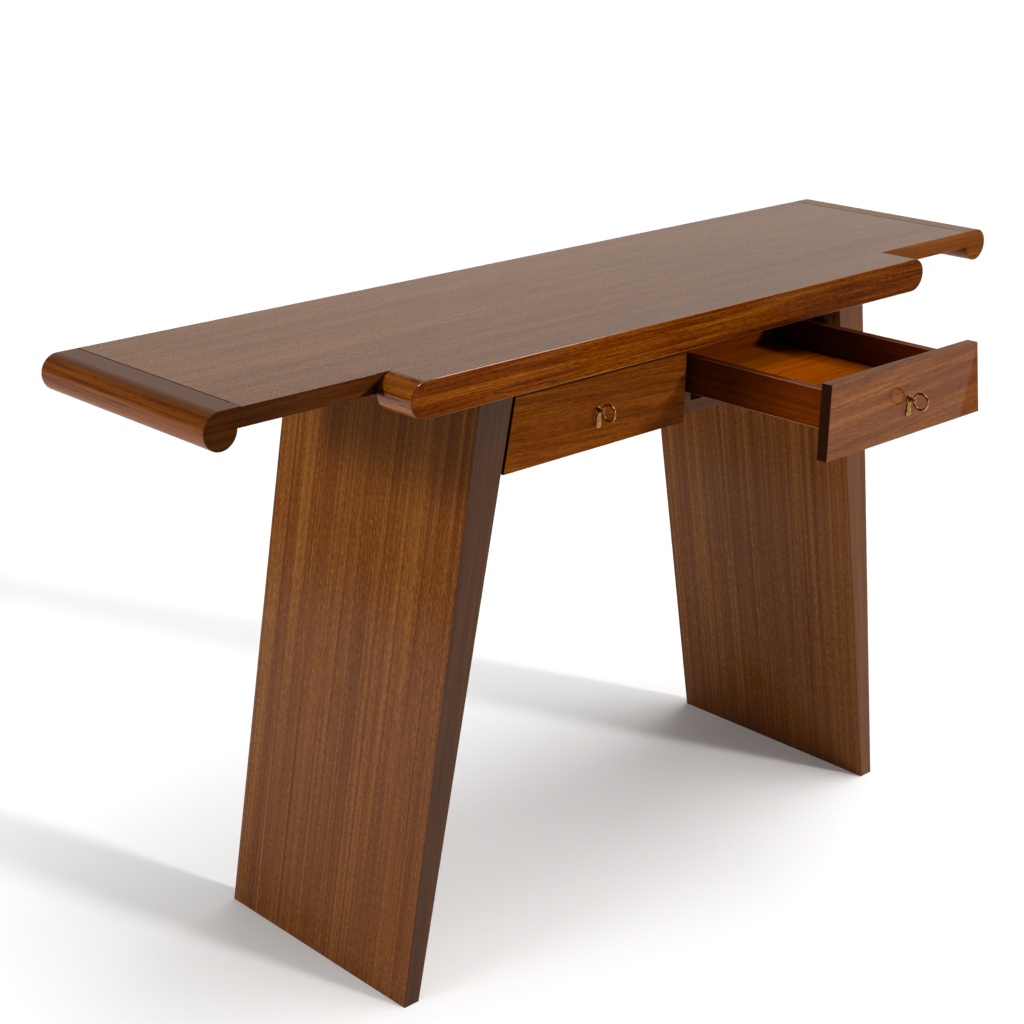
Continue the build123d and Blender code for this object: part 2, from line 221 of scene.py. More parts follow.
# %% [markdown]
# The lacquer is the shader's clear coat: a thin gloss layer over the matt wood. Brushed lacquer is
# never quite flat, so a slow noise makes reflections wander, and the pores sink in a little.

# %% Lacquer
LACQUER_WAVE = 0.03
LACQUER_DEPTH = 0.00012
LACQUER_ROUGHNESS = 0.1
PORE_DEPTH = 0.12
WOOD_ROUGHNESS = (0.65, 0.5)


def lacquered(name, lay, tones, layers, gloss, **figure):
    """A lacquered wood finish."""
    material, tree, shader = new_material(name)
    color, dashes = wood_color(tree, lay, tones, layers, **figure)
    feed(tree, shader.inputs["Base Color"], color)
    feed(tree, shader.inputs["Roughness"], remap(tree, dashes, 0.3, 0.6, *WOOD_ROUGHNESS))
    texture = add_node(tree, "ShaderNodeTexCoord", {})
    slow = {"Vector": texture.outputs["Object"], "Scale": 1 / LACQUER_WAVE, "Detail": 1.0}
    hills = add_node(tree, "ShaderNodeTexNoise", slow).outputs["Fac"]
    height = calculate(tree, "MULTIPLY_ADD", dashes, PORE_DEPTH, hills)
    bump = add_node(tree, "ShaderNodeBump", {"Height": height, "Distance": LACQUER_DEPTH})
    for socket in ("Normal", "Coat Normal"):
        feed(tree, shader.inputs[socket], bump.outputs[0])
    shader.inputs["Specular IOR Level"].default_value = 0.0
    shader.inputs["Coat Weight"].default_value = gloss
    shader.inputs["Coat Roughness"].default_value = LACQUER_ROUGHNESS
    return material


print("lacquer waves are", LACQUER_WAVE, "m long and", LACQUER_DEPTH, "m deep")

# %% [markdown]
# Some faces of a piece have another colour or another gloss than the rest. They could be given
# materials of their own, but that needs a sharp border between faces. A mask picks them by the way
# they face or by their place, and lays the change softly over the finish. Places are in metres. A
# face that looks straight along an axis has the value 1 or -1 on it, one that lies along it has 0.

# %% Masks
ARRIS_TURN = (0.15, 0.35)


def facing(material, axis, low, high):
    """A mask that rises from 0 to 1 as a surface turns towards an axis."""
    tree = material.node_tree
    return remap(tree, object_space(tree, "Normal")[axis], low, high)


def placed(material, axis, low, high):
    """A mask that rises from 0 to 1 along an axis."""
    tree = material.node_tree
    return remap(tree, object_space(tree, "Object")[axis], low, high)


def slanted(material, axis, slope, through, before, after, full=1.0):
    """A mask that rises along an axis, across a line that leans with the height.

    The line goes through a place on the axis at a height.
    """
    tree = material.node_tree
    here = object_space(tree, "Object")
    leaning = calculate(tree, "MULTIPLY_ADD", here["Z"], -slope, here[axis])
    line = through[0] - slope * through[1]
    return remap(tree, leaning, line + before, line + after, 0.0, full)


def arris(material, first, second):
    """A mask for rounded edges between faces that look along two axes."""
    tree = material.node_tree
    normal = object_space(tree, "Normal")
    slant = calculate(tree, "MULTIPLY", normal[first], normal[second])
    return remap(tree, calculate(tree, "ABSOLUTE", slant), *ARRIS_TURN)


def both(material, *masks):
    """Masks multiplied together."""
    result = masks[0]
    for mask in masks[1:]:
        result = calculate(material.node_tree, "MULTIPLY", result, mask)
    return result


half_turned = math.sin(math.pi / 4) ** 2
print("an arris at 45 degrees has", round(half_turned, 2), "and is masked in full from", ARRIS_TURN[1])


# %% Touch-ups
def repaint(material, mask, color, strength=1.0):
    """Lays another colour over a finish where the mask is 1, whole or in part."""
    tree = material.node_tree
    if strength < 1.0:
        mask = calculate(tree, "MULTIPLY", mask, strength)
    base = tree.nodes["Principled BSDF"].inputs["Base Color"]
    feed(tree, base, mix(tree, mask, base.links[0].from_socket, color))


def polish(material, mask, gloss):
    """Gives a finish another gloss where the mask is 1."""
    tree = material.node_tree
    coat = tree.nodes["Principled BSDF"].inputs["Coat Weight"]
    before = coat.links[0].from_socket if coat.is_linked else coat.default_value
    kept = calculate(tree, "MULTIPLY", calculate(tree, "SUBTRACT", 1.0, mask), before)
    feed(tree, coat, calculate(tree, "MULTIPLY_ADD", mask, gloss, kept))


print("helpers for touch-ups: repaint, polish")

# %% [markdown]
# ## The top
# One sheet of straight-grained veneer covers the board and the beam, so no joint shows between
# them, and it ends at the beam's front arris. Its flecks are a little duller than the lacquer
# around them, which breaks the shine up as old lacquer does.

# %% Top veneer
TOP_FIGURE = {
    "lay": "XY",
    "tones": ((82, 47, 18), (118, 71, 25), (144, 101, 53)),
    "layers": ((0.08, 1.5, 0.5), (0.02, 0.6, 0.5), (0.005, 0.12, 0.7), (0.0018, 0.004, 2.0)),
    "through": 8.0,
}
FLECK_WIDTH = 0.0018
FLECK_LENGTH = 0.004
FLECK_EDGE = (0.5, 0.3)
FLECK_GLOSS = 0.76

top_veneer = lacquered("top_veneer", gloss=1.0, **TOP_FIGURE)
top_tree = top_veneer.node_tree
top_coords = add_node(top_tree, "ShaderNodeTexCoord", {}).outputs["Object"]
flecks = stretched_noise(top_tree, top_coords, "XY", FLECK_WIDTH, FLECK_LENGTH)
polish(top_veneer, remap(top_tree, flecks, *FLECK_EDGE), FLECK_GLOSS)
dress(top_veneer, "top_board")

# %% [markdown]
# The edges of the wings are plain wood, hardly polished at the front. Their tones are painted
# light and shade: dark at the left, lighter at the right and along the back. In the corner beside
# the beam's left end a painted shadow lies under a slanted line, and the outer end of the same edge
# is darkened with painted shade too.

# %% Edges of the wings
WING_EDGE_TONES_BY_LIGHT = {
    "left": ((44, 19, 2), (64, 29, 5), (88, 48, 17)),
    "right": ((84, 40, 10), (106, 57, 19), (128, 76, 32)),
}
EDGE_LAYERS = ((0.03, 1.0, 0.8), (0.006, 0.3, 1.0), (0.002, 0.1, 0.8))
WING_EDGE_GLOSS = 0.05
LEFT_HALF = (0.0, -0.1)
RIGHT_HALF = (-0.01, 0.01)
OUTER_END = (-0.60, -0.70)
OUTER_END_SHADE = 0.4
NOTCH_SLOPE = 1.82
NOTCH_BLUR = (0.012, 0.022)
NOTCH_SHADE = 0.85


def wing_edge(material, hand):
    """The plain wood on the edge of a wing, darker on the left hand as painted shade."""
    return wood_color(material.node_tree, "XZ", WING_EDGE_TONES_BY_LIGHT[hand], EDGE_LAYERS, wave=0.5)[0]


# Painted light and shade: the left edge takes dark tones, the right edge and the back light ones.
front_edges = facing(top_veneer, "Y", -0.6, -0.9)
right_edges = both(top_veneer, front_edges, placed(top_veneer, "X", *RIGHT_HALF))
repaint(top_veneer, front_edges, wing_edge(top_veneer, "left"))
repaint(top_veneer, right_edges, wing_edge(top_veneer, "right"))
polish(top_veneer, front_edges, WING_EDGE_GLOSS)
repaint(top_veneer, facing(top_veneer, "Y", 0.6, 0.9), wing_edge(top_veneer, "right"))
# Painted shade: the outer end of the front edge is darkened.
shaded_outer_end = both(top_veneer, front_edges, placed(top_veneer, "X", *OUTER_END))
repaint(top_veneer, shaded_outer_end, BLACK, OUTER_END_SHADE)
# Painted shadow: a dark patch under a slanted line in the corner beside the beam's left end.
beam_corner = (beam_low.x, beam_high.z)
notch_shadow = slanted(top_veneer, "X", NOTCH_SLOPE, beam_corner, *NOTCH_BLUR, NOTCH_SHADE)
left_half = placed(top_veneer, "X", *LEFT_HALF)
repaint(top_veneer, both(top_veneer, notch_shadow, left_half, front_edges), BLACK)
print("wing edges from x", round(board_low.x, 3), "to", round(board_high.x, 3))

# %% [markdown]
# ## The beam
# The beam is solid, more golden wood under the top's veneer, and its grain turns on the round
# ends, which are painted lighter than its front as painted light.
# Its front is nearly matt. Its arrises are lighter, partly as wear and partly as painted reflection,
# with a painted highlight at the upper left, and the rims of its ends have a painted dark reflection.
# A painted shadow from the corner runs a little way on to the left end.

# %% Beam
BEAM_TONES = ((54, 18, 1), (94, 41, 3), (128, 72, 11))
BEAM_END_LIT_TONES = ((78, 32, 2), (130, 68, 10), (152, 92, 22))
BEAM_LAYERS = ((0.03, 0.6, 1.0), (0.009, 0.3, 1.2), (0.0025, 0.12, 1.2), (0.002, 0.01, 0.8))
BEAM_FRONT_GLOSS = 0.05

beam_wood = lacquered("beam_wood", "XZ", BEAM_TONES, BEAM_LAYERS, gloss=0.6, wave=0.4, pores=0.8)
beam_tree = beam_wood.node_tree
lit_beam_end = wood_color(beam_tree, "YZ", BEAM_END_LIT_TONES, BEAM_LAYERS)[0]
# Painted light: the round ends take lighter tones than the front.
for side in (-1, 1):
    repaint(beam_wood, facing(beam_wood, "X", side * 0.3, side * 0.5), lit_beam_end)
upper_faces = facing(beam_wood, "Z", 0.97, 0.995)
repaint(beam_wood, upper_faces, wood_color(beam_tree, **TOP_FIGURE)[0])
polish(beam_wood, upper_faces, 1.0)
dress(beam_wood, "front_beam")

# %% Wear on the beam
ARRIS_WEAR_AND_SHEEN_TONE = (150, 100, 62)
ARRIS_WEAR_AND_SHEEN = 0.6
HIGHLIGHT_TONE = (172, 134, 114)
HIGHLIGHT_END = (-0.1, -0.3)
RIM_REFLECTION_TONE = (64, 28, 5)
RIM_FULL = 0.03
RIM_START = 0.05
PAINTED_SHADE_TONE = (14, 8, 5)
CORNER_SHADE_REACH = 0.015
CORNER_SHADE_SLANT = 0.6
CORNER_SHADE_BLUR = 0.002
CORNER_SHADE_STRENGTH = 0.9

# Partly wear, partly painted reflection: the long arrises are lighter.
repaint(beam_wood, arris(beam_wood, "Y", "Z"), linear(ARRIS_WEAR_AND_SHEEN_TONE), ARRIS_WEAR_AND_SHEEN)
# Painted highlight: the upper front arris is light towards the left.
upper_arris = both(beam_wood, arris(beam_wood, "Y", "Z"), facing(beam_wood, "Z", 0.2, 0.4))
painted_highlight = both(beam_wood, upper_arris, placed(beam_wood, "X", *HIGHLIGHT_END))
repaint(beam_wood, painted_highlight, linear(HIGHLIGHT_TONE))

# Painted reflection: the rounded rims of the ends are dark.
reflecting_rims = both(beam_wood, facing(beam_wood, "Y", -0.2, -0.4), facing(beam_wood, "Y", -0.97, -0.9))
for end_x, inward in ((beam_low.x, 1), (beam_high.x, -1)):
    near_end = placed(beam_wood, "X", end_x + inward * RIM_START, end_x + inward * RIM_FULL)
    repaint(beam_wood, both(beam_wood, reflecting_rims, near_end), linear(RIM_REFLECTION_TONE))
polish(beam_wood, facing(beam_wood, "Y", -0.9, -0.98), BEAM_FRONT_GLOSS)

beam_middle = (beam_low.z + beam_high.z) / 2
# Painted shadow: the left end is dark next to the wing's front edge.
corner_shade_line = (board_low.y - CORNER_SHADE_REACH, beam_middle)
corner_shade = both(
    beam_wood,
    slanted(beam_wood, "Y", CORNER_SHADE_SLANT, corner_shade_line, -CORNER_SHADE_BLUR, CORNER_SHADE_BLUR, CORNER_SHADE_STRENGTH),
    placed(beam_wood, "Z", beam_middle - CORNER_SHADE_BLUR, beam_middle + CORNER_SHADE_BLUR / 2),
    facing(beam_wood, "X", -0.1, -0.3),
)
repaint(beam_wood, corner_shade, linear(PAINTED_SHADE_TONE))
polish(beam_wood, corner_shade, 0.0)
print("beam's middle at z", round(beam_middle, 4))

# %% [markdown]
# ## The rolled ends
# The rolled ends are solid, with their grain along the roll, and a dark line where they meet the
# board. The line stops a little short of the front. It could be a thin piece of its own, but a
# joint has no thickness, so both pieces are lined in their finish, each on its own side.

# %% Joint lines
JOINT_TONE = (44, 22, 10)
JOINT_HALF_WIDTH = 0.0009
JOINT_BLUR = 0.0002
JOINT_SHORT_OF_FRONT = 0.02
JOINT_FADE = 0.002


def line_joint(material, hand, joint_x, front_y):
    """Draws the dark line of a joint on the upper face, and takes it off the front edge."""
    reach = JOINT_HALF_WIDTH + JOINT_BLUR
    start = front_y + JOINT_SHORT_OF_FRONT
    line = both(
        material,
        placed(material, "X", joint_x - reach, joint_x - JOINT_HALF_WIDTH),
        placed(material, "X", joint_x + reach, joint_x + JOINT_HALF_WIDTH),
        placed(material, "Y", start, start + JOINT_FADE),
        facing(material, "Z", 0.5, 0.6),
    )
    repaint(material, line, linear(JOINT_TONE))
    polish(material, line, 0.0)
    front_chamfer = both(
        material,
        placed(material, "X", 0.0, joint_x),
        arris(material, "X", "Y"),
        facing(material, "Y", -0.3, -0.6),
    )
    repaint(material, front_chamfer, wing_edge(material, hand))
    polish(material, front_chamfer, 0.0)


print("joint lines are", 2 * JOINT_HALF_WIDTH, "m wide")

# %% Rolled ends
ROLL_TONES = ((64, 27, 5), (115, 60, 18), (139, 80, 28))
ROLL_LAYERS = ((0.02, 0.6, 1.0), (0.006, 0.35, 1.2), (0.002, 0.1, 1.0))
ROLL_TOP_SHADED_TONES = {"left": (87, 49, 16), "right": (117, 71, 23)}
ROLL_TOP_GLOSS = 0.75
ROLL_END_SHADES = {"left": 0.4, "right": 0.05}
ROLL_END_GLOSS = 0.03

for hand, joint_x in zip(HANDS, (board_low.x, board_high.x)):
    roll_wood = lacquered(hand + "_roll_wood", "YX", ROLL_TONES, ROLL_LAYERS, gloss=0.36)
    # Painted shade: the upper strip of each roll is darker, the left one more so.
    upper_strip = facing(roll_wood, "Z", 0.72, 0.99)
    repaint(roll_wood, upper_strip, linear(ROLL_TOP_SHADED_TONES[hand]))
    polish(roll_wood, upper_strip, ROLL_TOP_GLOSS)
    # Painted shade: the ends of the rolls are darkened, the left one far more than the right one.
    ends = facing(roll_wood, "Y", -0.25, -0.5)
    repaint(roll_wood, ends, wing_edge(roll_wood, hand))
    repaint(roll_wood, ends, BLACK, ROLL_END_SHADES[hand])
    polish(roll_wood, ends, ROLL_END_GLOSS)
    front_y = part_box(hand + "_end_moulding")[0].y
    for material in (roll_wood, top_veneer):
        line_joint(material, hand, joint_x, front_y)
    dress(roll_wood, hand + "_end_moulding")
    print(hand, "joint at x", round(joint_x, 4))

# %% [markdown]
# ## The legs
# The panels are ribbon-striped veneer that runs down the leg, so the figure changes across Y
# alone. The left leg's panel has painted shade high up under the top. On both legs the lacquer is
# duller higher up. Thin plain strips that lean with the leg cover the front and back edges. Their
# tones are painted light and shade, darker on the left leg, whose strips also have painted shade
# under the top and near the floor.

# %% Leg panels
LEG_TONES = ((82, 40, 8), (113, 62, 17), (144, 92, 38))
LEG_LAYERS = ((0.05, 2.0, 0.45), (0.014, 1.2, 0.5), (0.004, 0.7, 1.4), (0.0016, 0.006, 1.4))
DULL_HEIGHTS = (0.42, 0.58)
DULL_LEG_GLOSS = 0.1
UNDER_WING_SHADE_HEIGHTS = (0.63, 0.72)
UNDER_WING_SHADE_DEPTHS = (0.28, 0.20)
UNDER_WING_SHADE = 0.52

leg_veneer = lacquered(
    "leg_veneer", "ZY", LEG_TONES, LEG_LAYERS, gloss=0.32, through=60.0, pores=0.3
)
polish(leg_veneer, placed(leg_veneer, "Z", *DULL_HEIGHTS), DULL_LEG_GLOSS)
# Painted shade: the left panel is darker high up, under the top.
under_wing_shade = both(
    leg_veneer,
    placed(leg_veneer, "Z", *UNDER_WING_SHADE_HEIGHTS),
    placed(leg_veneer, "Y", *UNDER_WING_SHADE_DEPTHS),
    placed(leg_veneer, "X", *LEFT_HALF),
)
repaint(leg_veneer, under_wing_shade, BLACK, UNDER_WING_SHADE)
dress(leg_veneer, "left_leg_panel", "right_leg_panel")

# %% Leg edges
LEG_LEAN = math.radians(10.0)
# Painted light and shade: the right strips take lighter tones, the left strips darker ones.
LIPPING_TONES_BY_LIGHT = {
    "left": ((48, 23, 6), (67, 36, 10), (82, 47, 15)),
    "right": ((66, 32, 7), (88, 47, 12), (104, 59, 19)),
}
UNDER_TOP_HEIGHTS = (0.66, 0.80)
UNDER_TOP_SHADE = 0.28
FLOOR_HEIGHTS = (0.42, 0.25)
FLOOR_SHADE = 0.22

for hand, lean in zip(HANDS, (-LEG_LEAN, LEG_LEAN)):
    edge_wood = lacquered(
        hand + "_leg_edge", "ZX", LIPPING_TONES_BY_LIGHT[hand], EDGE_LAYERS, gloss=0.42, turn=lean
    )
    if hand == "left":
        # Painted shade: the left strips darken under the top and near the floor.
        repaint(edge_wood, placed(edge_wood, "Z", *UNDER_TOP_HEIGHTS), BLACK, UNDER_TOP_SHADE)
        repaint(edge_wood, placed(edge_wood, "Z", *FLOOR_HEIGHTS), BLACK, FLOOR_SHADE)
    dress(edge_wood, hand + "_leg_front_lipping", hand + "_leg_back_lipping")

# %% [markdown]
# ## The drawers
# The fronts have lying grain, not quite level, and dark end edges. Their tones are painted light
# and shade: lighter on the right one, darker on the left one. The left one has a painted shadow
# along its upper edge, under the beam. On the right one the lacquer has gone dull near the right
# end, along a slanted line.

# %% Drawer fronts
GRAIN_TILT = math.radians(3.0)
FRONT_LAYERS = ((0.03, 0.7, 0.8), (0.009, 0.4, 1.0), (0.003, 0.12, 1.0), (0.002, 0.01, 0.8))
# Painted light and shade: the right front's tones are lighter, the left front's darker.
FRONT_TONES_BY_LIGHT = {
    "left": ((62, 25, 2), (91, 43, 6), (118, 64, 13)),
    "right": ((76, 32, 5), (104, 54, 12), (130, 76, 25)),
}
FRONT_GLOSS = {"left": 0.03, "right": 0.45}
FRONT_END_TONE = (38, 19, 8)
DULL_SLANT = 0.25
DULL_WIDTH = 0.045
DULL_BLUR = 0.004
DULL_GLOSS = 0.12
UNDER_BEAM_SHADE_START = 0.0058
UNDER_BEAM_SHADE_FULL = 0.0042
UNDER_BEAM_SHADE_STRENGTH = 0.75

for hand, tilt in zip(HANDS, (-GRAIN_TILT, GRAIN_TILT)):
    tones, gloss = FRONT_TONES_BY_LIGHT[hand], FRONT_GLOSS[hand]
    front_veneer = lacquered(
        hand + "_front_veneer", "XZ", tones, FRONT_LAYERS, gloss, turn=tilt, wave=0.4
    )
    for side in (-1, 1):
        end_edge = facing(front_veneer, "X", side * 0.8, side * 0.9)
        repaint(front_veneer, end_edge, linear(FRONT_END_TONE))
    low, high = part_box(hand + "_drawer_front")
    if hand == "left":
        # Painted shadow: a dark band along the upper edge, under the beam.
        under_beam_shade = placed(front_veneer, "Z", high.z - UNDER_BEAM_SHADE_START, high.z - UNDER_BEAM_SHADE_FULL)
        repaint(front_veneer, under_beam_shade, linear(PAINTED_SHADE_TONE), UNDER_BEAM_SHADE_STRENGTH)
    else:
        dull_line = (high.x - DULL_WIDTH, low.z)
        dull = slanted(front_veneer, "X", DULL_SLANT, dull_line, -DULL_BLUR, DULL_BLUR)
        polish(front_veneer, dull, DULL_GLOSS)
    dress(front_veneer, hand + "_drawer_front")

# %% [markdown]
# Inside, the sides and bottoms are orange-brown wood with a thinner finish. The sides are painted
# brighter near the front and darker towards the back as painted light and shade, and their arrises
# are lighter there, partly as wear and partly as painted highlight.

# %% Drawer boxes
PLAIN_LAYERS = ((0.05, 0.9, 1.0), (0.01, 0.5, 1.0), (0.002, 0.1, 1.0))
SIDE_TONES = ((30, 8, 1), (52, 16, 1), (70, 28, 3))
LIT_SIDE_TONES = ((74, 26, 1), (106, 42, 2), (128, 60, 5))
LIT_SIDE_START = 0.17
LIT_SIDE_FULL = -0.02
WORN_AND_LIT_ARRIS_TONE = (146, 100, 66)
LEAST_ARRIS_WEAR_AND_LIGHT = 0.2
BACK_TONES = ((70, 22, 1), (102, 40, 2), (124, 56, 5))
BOTTOM_TONES = ((112, 44, 1), (154, 71, 2), (172, 88, 6))

back_wood = lacquered("back_wood", "XZ", BACK_TONES, PLAIN_LAYERS, gloss=0.1)
bottom_veneer = lacquered("bottom_veneer", "XY", BOTTOM_TONES, PLAIN_LAYERS, gloss=0.1)
for hand in HANDS:
    side_wood = lacquered(hand + "_side_wood", "YZ", SIDE_TONES, PLAIN_LAYERS, gloss=0.3)
    side_tree = side_wood.node_tree
    behind_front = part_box(hand + "_drawer_front")[1].y
    # Painted light and shade: the sides grow brighter towards the front.
    lit_side = placed(side_wood, "Y", behind_front + LIT_SIDE_START, behind_front + LIT_SIDE_FULL)
    repaint(side_wood, lit_side, wood_color(side_tree, "YZ", LIT_SIDE_TONES, PLAIN_LAYERS)[0])
    # Partly wear, partly painted highlight: the arrises are lighter, most of all near the front.
    arris_wear_and_light = remap(side_tree, lit_side, 0.0, 0.6, LEAST_ARRIS_WEAR_AND_LIGHT, 1.0)
    repaint(side_wood, both(side_wood, arris(side_wood, "X", "Z"), arris_wear_and_light), linear(WORN_AND_LIT_ARRIS_TONE))
    dress(side_wood, hand + "_drawer_inner_side", hand + "_drawer_outer_side")
    dress(back_wood, hand + "_drawer_back")
    dress(bottom_veneer, hand + "_drawer_bottom")

# %% [markdown]
# ## The case
# The case is plain wood that hardly anyone sees, greyer than the rest. Its back is a panel in the
# colour of the table, and the dowels are pale, bare wood.

# %% Case and dowels
CASE_TONES = ((66, 46, 32), (92, 66, 46), (110, 82, 60))
PANEL_TONES = ((62, 30, 8), (88, 47, 14), (108, 62, 22))
DOWEL_TONES = ((150, 116, 78), (186, 150, 106), (206, 176, 134))

case_wood = lacquered("case_wood", "XY", CASE_TONES, PLAIN_LAYERS, gloss=0.1)
panel_wood = lacquered("panel_wood", "XZ", PANEL_TONES, PLAIN_LAYERS, gloss=0.2)
dowel_wood = lacquered("dowel_wood", "ZX", DOWEL_TONES, PLAIN_LAYERS, gloss=0.0)
for hand in HANDS:
    dress(case_wood, hand + "_drawer_guide", hand + "_drawer_runners", hand + "_drawer_kickers")
dress(case_wood, "case_bottom", "centre_divider")
dress(panel_wood, "case_back")
dress(dowel_wood, "top_dowels", "leg_dowels", "case_dowels")

# %% [markdown]
# ## Metal
# Keys and keyhole plates are old brass: bright where hands polish it, browner in between. The
# locks are plain steel. One cloudy noise drives the colour, the roughness and a very low bump, so
# that the tarnish is dull and the polished spots shine.

# %% Metal finishes
METAL_CLOUDS = 260.0
METAL_DEPTH = 0.00004


def metal(name, bright, worn, roughness):
    """Metal with cloudy tarnish."""
    material, tree, shader = new_material(name)
    texture = add_node(tree, "ShaderNodeTexCoord", {})
    sockets = {"Vector": texture.outputs["Object"], "Scale": METAL_CLOUDS, "Detail": 4.0}
    clouds = add_node(tree, "ShaderNodeTexNoise", sockets).outputs["Fac"]
    color = ramp(tree, clouds, (0.35, linear(worn)), (0.6, linear(bright)))
    feed(tree, shader.inputs["Base Color"], color)
    feed(tree, shader.inputs["Roughness"], remap(tree, clouds, 0.3, 0.7, roughness * 1.4, roughness))
    bump = add_node(tree, "ShaderNodeBump", {"Height": clouds, "Distance": METAL_DEPTH})
    feed(tree, shader.inputs["Normal"], bump.outputs[0])
    shader.inputs["Metallic"].default_value = 1.0
    return material


brass = metal("brass", bright=(172, 126, 66), worn=(112, 74, 32), roughness=0.12)
steel = metal("lock_steel", bright=(150, 148, 144), worn=(112, 108, 102), roughness=0.4)
for hand in HANDS:
    dress(brass, hand + "_key", hand + "_keyhole_plate", hand + "_strike_plate")
    dress(steel, hand + "_lock_case", hand + "_lock_cap", hand + "_lock_bolt")

# %% [markdown]
# ## Screws
# Slotted screws hold the caps of the locks and the strike plates. A cylinder is the start: its top
# is inset and raised to a low dome, four cuts mark the slot, and the face between them is pushed
# in. One screw is modelled and copied to each place, with its slot turned another way each time.

# %% A slotted screw
SCREW_RADIUS = 0.0026
SCREW_HEIGHT = 0.0012
SCREW_SIDES = 32
DOME_INSET = 0.0006
DOME_RISE = 0.0003
SLOT_LENGTH = 0.0034
SLOT_WIDTH = 0.0007
SLOT_DEPTH = 0.0005
SMOOTH_ANGLE = math.radians(25.0)


def pick_faces(piece, wanted):
    """Selects the faces that a test wants, in edit mode."""
    bpy.ops.mesh.select_mode(type="FACE")
    bpy.ops.mesh.select_all(action="DESELECT")
    bpy.ops.object.mode_set(mode="OBJECT")
    for face in piece.data.polygons:
        face.select = wanted(face)
    bpy.ops.object.mode_set(mode="EDIT")


def on_top(face):
    """Whether a face looks up."""
    return face.normal.z > 0.9


def in_slot(face):
    """Whether a face is the slot's mouth."""
    inside = abs(face.center.x) < SLOT_LENGTH / 2 and abs(face.center.y) < SLOT_WIDTH / 2
    return inside and on_top(face)


bpy.ops.object.select_all(action="DESELECT")
bpy.ops.mesh.primitive_cylinder_add(vertices=SCREW_SIDES, radius=SCREW_RADIUS, depth=SCREW_HEIGHT)
first_screw = bpy.context.object
bpy.ops.object.mode_set(mode="EDIT")
pick_faces(first_screw, on_top)
bpy.ops.mesh.inset(thickness=DOME_INSET)
bpy.ops.transform.translate(value=(0.0, 0.0, DOME_RISE))
for side in (-1, 1):
    cuts = ((side * SLOT_LENGTH / 2, 0.0, 0.0), (0.0, side * SLOT_WIDTH / 2, 0.0))
    for cut in cuts:
        bpy.ops.mesh.select_all(action="SELECT")
        bpy.ops.mesh.bisect(plane_co=cut, plane_no=Vector(cut).normalized())
pick_faces(first_screw, in_slot)
bpy.ops.mesh.extrude_region_move(TRANSFORM_OT_translate={"value": (0.0, 0.0, -SLOT_DEPTH)})
bpy.ops.mesh.select_all(action="SELECT")
bpy.ops.mesh.normals_make_consistent(inside=False)
bpy.ops.object.mode_set(mode="OBJECT")
bpy.ops.object.shade_smooth_by_angle(angle=SMOOTH_ANGLE)
print("screw with", len(first_screw.data.polygons), "faces")

# %% Screws in their places
SCREW_SUNK = 0.0003
SLOT_TURN = math.radians(37.0)
CAP_SCREW_INSET = 0.0055
STRIKE_SCREW_INSET = 0.006
BACKWARD = Vector((0.0, 1.0, 0.0))
DOWNWARD = Vector((0.0, 0.0, -1.0))


def set_screw(name, number, place, outward, material, body):
    """Copies the screw to a place, with its head outwards and its slot turned by its number."""
    screw = bpy.data.objects.new(name, first_screw.data.copy())
    bpy.context.collection.objects.link(screw)
    aim = outward.to_track_quat("Z", "Y").to_matrix().to_4x4()
    sunk = Vector(place) + outward * (SCREW_HEIGHT / 2 - SCREW_SUNK)
    turned = Matrix.Rotation(number * SLOT_TURN, 4, "Z")
    screw.data.transform(Matrix.Translation(sunk) @ aim @ turned)
    screw.data.materials.append(material)
    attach(screw, body)


count = 0
for hand in HANDS:
    low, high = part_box(hand + "_lock_cap")
    for x in (low.x + CAP_SCREW_INSET, high.x - CAP_SCREW_INSET):
        for z in (low.z + CAP_SCREW_INSET, high.z - CAP_SCREW_INSET):
            count += 1
            name = f"cap_screw_{count}"
            place = (x, high.y, z)
            set_screw(name, count, place, BACKWARD, steel, hand + "_drawer")
    low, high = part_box(hand + "_strike_plate")
    for x in (low.x + STRIKE_SCREW_INSET, high.x - STRIKE_SCREW_INSET):
        count += 1
        name = f"strike_screw_{count}"
        place = (x, (low.y + high.y) / 2, low.z)
        set_screw(name, count, place, DOWNWARD, brass, "table")
bpy.data.objects.remove(first_screw)
print(count, "screws set")

# %% [markdown]
# ## The studio
# The floor is plain and nearly white, and glows a little, so that it gives light back from below.
# Behind everything is a white dome that only the camera sees, because a dome that lit the table
# would wash its colours out.

# %% Floor and backdrop
FLOOR_SIDE = 80.0
FLOOR_TONE = (0.9, 0.9, 0.9, 1.0)
FLOOR_GLOW = 0.1

bpy.ops.object.select_all(action="DESELECT")
bpy.ops.mesh.primitive_plane_add(size=FLOOR_SIDE)
floor = bpy.context.object
floor.name = "studio_floor"
floor_paint, _, floor_shader = new_material("floor_paint")
floor_shader.inputs["Base Color"].default_value = FLOOR_TONE
floor_shader.inputs["Roughness"].default_value = 1.0
floor_shader.inputs["Specular IOR Level"].default_value = 0.0
floor_shader.inputs["Emission Color"].default_value = WHITE
floor_shader.inputs["Emission Strength"].default_value = FLOOR_GLOW
floor.data.materials.append(floor_paint)

bpy.ops.object.select_all(action="DESELECT")
bpy.ops.mesh.primitive_uv_sphere_add(segments=48, ring_count=24, radius=FLOOR_SIDE / 2)
backdrop = bpy.context.object
backdrop.name = "studio_backdrop"
backdrop_paint, _, backdrop_shader = new_material("backdrop_paint")
backdrop_shader.inputs["Base Color"].default_value = BLACK
backdrop_shader.inputs["Emission Color"].default_value = WHITE
backdrop_shader.inputs["Emission Strength"].default_value = 1.0
backdrop.data.materials.append(backdrop_paint)
backdrop.visible_diffuse = False
backdrop.visible_glossy = False
backdrop.visible_transmission = False
backdrop.visible_shadow = False
print("floor and backdrop placed")

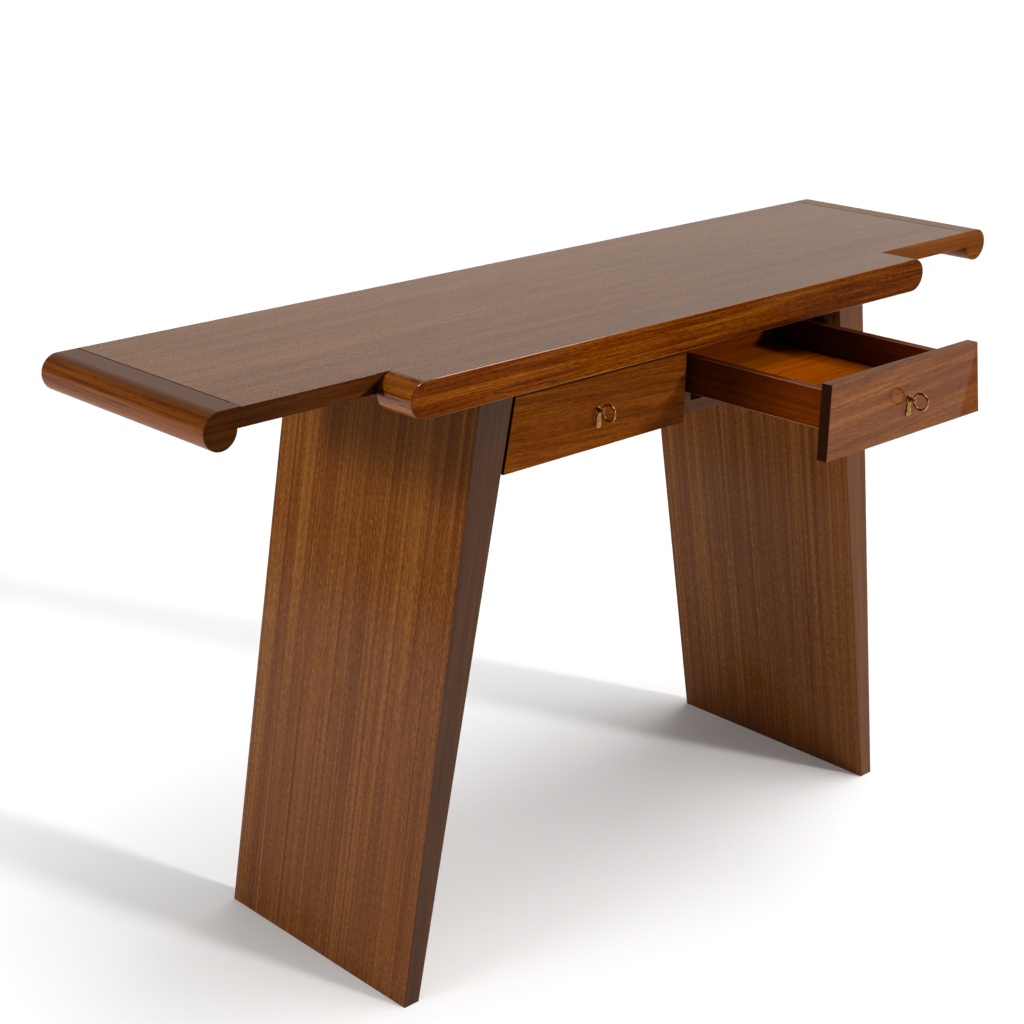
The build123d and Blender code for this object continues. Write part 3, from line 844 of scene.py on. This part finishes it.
# %% [markdown]
# The lacquer mirrors the world, which is dim on the left and overhead, and brighter low on the
# right, so the top shines more towards its right end. Three soft lamps light the table: one in
# front, one above on the right, and a small one far on the left, for the leg's outer face.

# %% World and lamps
SIDE_LIGHT = 0.5
ROOM_LIGHT = 0.1
TO_THE_RIGHT = (-0.3, 0.8)
BELOW_OVERHEAD = (0.66, 0.56)
FRONT_LAMP = {"toward": (0.32, -0.88, 0.33), "softness": 7.0, "power": 2.2}
UPPER_LAMP = {"toward": (0.38, -0.2, 0.9), "softness": 60.0, "power": 2.4}
LEFT_LAMP_PLACE = (-3.2, 0.25, 1.05)
LEFT_LAMP_SIZE = 0.9
LEFT_LAMP_POWER = 36.0

world = bpy.data.worlds.new("studio")
bpy.context.scene.world = world
world.use_nodes = True
sky = world.node_tree
looking = object_space(sky, "Generated")
from_right = remap(sky, looking["X"], *TO_THE_RIGHT)
from_below = remap(sky, looking["Z"], *BELOW_OVERHEAD)
low_right = calculate(sky, "MULTIPLY", from_right, from_below)
brightness = calculate(sky, "MULTIPLY_ADD", low_right, SIDE_LIGHT - ROOM_LIGHT, ROOM_LIGHT)
feed(sky, sky.nodes["Background"].inputs["Strength"], brightness)
sky.nodes["Background"].inputs["Color"].default_value = WHITE


def distant_lamp(name, toward, softness, power):
    """A soft distant lamp that shines from a direction, with its width in degrees."""
    bpy.ops.object.light_add(type="SUN")
    light = bpy.context.object
    light.name = name
    light.data.angle = math.radians(softness)
    light.data.energy = power
    light.rotation_euler = Vector(toward).to_track_quat("Z", "Y").to_euler()


distant_lamp("front_lamp", **FRONT_LAMP)
distant_lamp("upper_lamp", **UPPER_LAMP)
facing_right = (math.pi / 2, 0.0, -math.pi / 2)
bpy.ops.object.light_add(type="AREA", location=LEFT_LAMP_PLACE, rotation=facing_right)
left_lamp = bpy.context.object
left_lamp.name = "left_lamp"
left_lamp.data.size = LEFT_LAMP_SIZE
left_lamp.data.energy = LEFT_LAMP_POWER
left_lamp.visible_camera = False
left_lamp.visible_glossy = False
bpy.context.scene.view_settings.view_transform = "Standard"
print("world and lamps placed")
